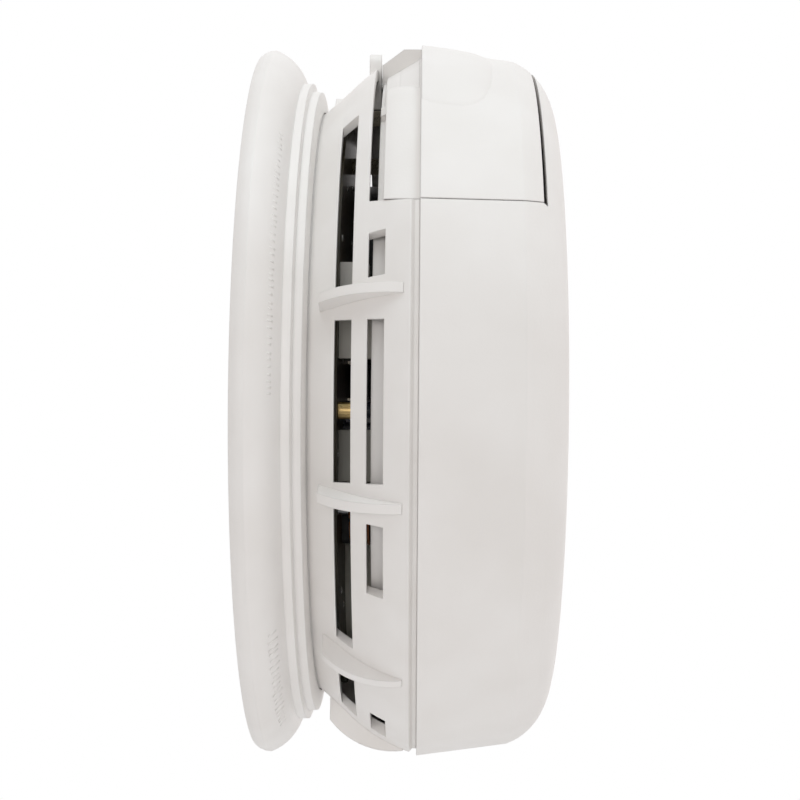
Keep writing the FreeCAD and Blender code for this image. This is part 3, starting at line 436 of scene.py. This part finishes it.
def make_solder():
    """Scattered solder joints on the board."""
    solder = bmesh.new()
    for k in range(46):
        angle = random.uniform(0, 2 * math.pi)
        radius = 52.0 * math.sqrt(random.uniform(0.03, 1.0))
        lathe(solder, spot(radius * math.cos(angle), radius * math.sin(angle), BOARD_TOP - 0.02),
              (0, -1, 0), [(0.001, 0.0), (0.75, 0.0), (0.45, 0.22), (0.001, 0.3)], 14)
    piece("solder_pads", solder, "solder", "alarm")


def make_capacitor_tops():
    tops = bmesh.new()
    for x, y in ELECTROLYTICS:
        lathe(tops, spot(x, y, BOARD_TOP + ELECTROLYTIC_HIGH), (0, -1, 0),
              [(0.001, -0.05), (3.5, -0.05), (3.5, 0.06), (3.2, 0.12), (0.001, 0.08)], 40)
    piece("capacitor_tops", tops, "aluminium", "alarm")


def make_winding():
    coil = bmesh.new()
    turns = [spot(INDUCTOR_X + 4.62 * math.cos(a), INDUCTOR_Y + 4.62 * math.sin(a),
                  BOARD_TOP + 1.2 + a * 0.104) for a in [0.2 * n for n in range(315)]]
    tube_along(coil, turns, 0.24, 6)
    piece("inductor_winding", coil, "copper", "alarm")


make_leads()
make_bands()
make_solder()
make_capacitor_tops()
make_winding()

# The battery's plain wrap bands and rolled rims, in the drawer's own directions.
ALONG = Vector((-math.cos(DRAWER_LEAN), 0.0, -math.sin(DRAWER_LEAN)))
OUT = Vector((-math.sin(DRAWER_LEAN), 0.0, math.cos(DRAWER_LEAN)))


def in_drawer(along, out, d):
    """A point by its place along the drawer from the hinge, outwards, and d, in mm."""
    return spot(HINGE_X, HINGE_Y, d) + (ALONG * along + OUT * out) * MM


def loop_round(mesh, start, stop, grow):
    """A closed band round the battery's case between two places along it."""
    case = [NODES["battery"].matrix_world @ v.co for v in NODES["battery"].data.vertices]
    near, far = min(-p.y for p in case) / MM, max(-p.y for p in case) / MM
    middle = (near + far) * 0.5
    shell = [(-BATTERY_DEPTH - grow, near - grow), (-0.2 + grow, near - grow),
             (-0.2 + grow, far + grow), (-BATTERY_DEPTH - grow, far + grow)]
    core = [(out + (0.5 if out < -BATTERY_DEPTH * 0.5 else -0.5), d + (0.5 if d < middle else -0.5))
            for out, d in shell]
    sets = [[mesh.verts.new(in_drawer(a, o, d)) for o, d in ring]
            for a, ring in ((start, shell), (stop, shell), (stop, core), (start, core))]
    for k in range(4):
        n = (k + 1) % 4
        for m in range(4):
            q = (m + 1) % 4
            mesh.faces.new((sets[m][k], sets[m][n], sets[q][n], sets[q][k]))


rims = bmesh.new()
loop_round(rims, 8.55, 9.3, 0.06)
loop_round(rims, 54.4, 55.15, 0.06)
piece("battery_rims", rims, "steel", "battery_drawer_body", False, 0.08)
stripe = bmesh.new()
loop_round(stripe, 40.0, 53.0, 0.03)
piece("battery_band", stripe, "band", "battery_drawer_body", False)


# ---------------------------------------------------------------- camera and lights

EYE_X, EYE_D = -330.0, 31.4


def make_camera():
    """The view square to the alarm's axis, rolled by under half a degree."""
    view = bpy.data.cameras.new("view")
    view.lens = 72.1
    view.sensor_width = 36.0
    view.shift_x = -0.0262
    view.shift_y = 0.0025
    view.clip_start = 0.01
    camera = bpy.data.objects.new("camera", view)
    bpy.context.scene.collection.objects.link(camera)
    camera.location = spot(EYE_X, 0.0, EYE_D)
    camera.rotation_euler = (math.radians(90), math.radians(-0.45), math.radians(-90))
    bpy.context.scene.camera = camera


def softbox(name, where, aim, size, power, tint=(1.0, 1.0, 1.0)):
    """A soft rectangular lamp at one place that faces another."""
    lamp = bpy.data.lights.new(name, "AREA")
    lamp.shape = "RECTANGLE"
    lamp.size, lamp.size_y = size
    lamp.energy = power
    lamp.color = tint
    made = bpy.data.objects.new(name, lamp)
    bpy.context.scene.collection.objects.link(made)
    made.location = where
    made.rotation_euler = (Vector(aim) - Vector(where)).to_track_quat("-Z", "Y").to_euler()
    return made


softbox("top", (-0.25, -0.10, 0.85), (0.0, -0.03, 0.0), (0.9, 0.9), 4.1, (0.88, 0.97, 1.0))
softbox("front", (-0.75, 0.12, 0.10), (0.0, -0.03, 0.0), (0.35, 0.35), 1.1, (1.0, 0.985, 0.975))
softbox("low", (-0.35, -0.45, -0.24), (0.0, -0.03, -0.02), (0.4, 0.3), 0.28, (1.0, 0.97, 0.96))

def make_world():
    """A white backdrop, and room light that comes mostly from behind the alarm."""
    world = bpy.data.worlds.new("studio")
    bpy.context.scene.world = world
    world.use_nodes = True
    sky = world.node_tree
    sky.nodes.clear()
    out = sky.nodes.new("ShaderNodeOutputWorld")
    mix = sky.nodes.new("ShaderNodeMixShader")
    seen = sky.nodes.new("ShaderNodeBackground")
    seen.inputs[0].default_value = (1.0, 1.0, 1.0, 1.0)
    seen.inputs[1].default_value = 1.0
    light = sky.nodes.new("ShaderNodeBackground")
    light.inputs[0].default_value = (1.0, 0.965, 0.955, 1.0)
    where = sky.nodes.new("ShaderNodeTexCoord")
    tilt = sky.nodes.new("ShaderNodeVectorMath")
    tilt.operation = "DOT_PRODUCT"
    tilt.inputs[1].default_value = (0.38, -0.08, -0.10)
    level = sky.nodes.new("ShaderNodeMath")
    level.operation = "ADD"
    level.inputs[1].default_value = 0.75
    path = sky.nodes.new("ShaderNodeLightPath")
    sky.links.new(where.outputs["Generated"], tilt.inputs[0])
    sky.links.new(tilt.outputs["Value"], level.inputs[0])
    sky.links.new(level.outputs[0], light.inputs[1])
    sky.links.new(path.outputs["Is Camera Ray"], mix.inputs[0])
    sky.links.new(light.outputs[0], mix.inputs[1])
    sky.links.new(seen.outputs[0], mix.inputs[2])
    sky.links.new(mix.outputs[0], out.inputs[0])


def make_floor():
    """A round, pale, matt floor well below the alarm."""
    mesh = bmesh.new()
    bmesh.ops.create_circle(mesh, cap_ends=True, segments=96, radius=0.62)
    data = bpy.data.meshes.new("floor")
    mesh.to_mesh(data)
    mesh.free()
    floor = bpy.data.objects.new("floor", data)
    bpy.context.scene.collection.objects.link(floor)
    floor.location = (0.0, -0.03, -0.30)
    data.materials.append(moulded("floor_paint", (0.86, 0.86, 0.86), (0.88, 0.88, 0.88),
                                  0.8, 1.2, 0.01, 0.02, 60.0))


make_camera()
make_world()
bpy.context.scene.view_settings.view_transform = "Standard"
make_floor()
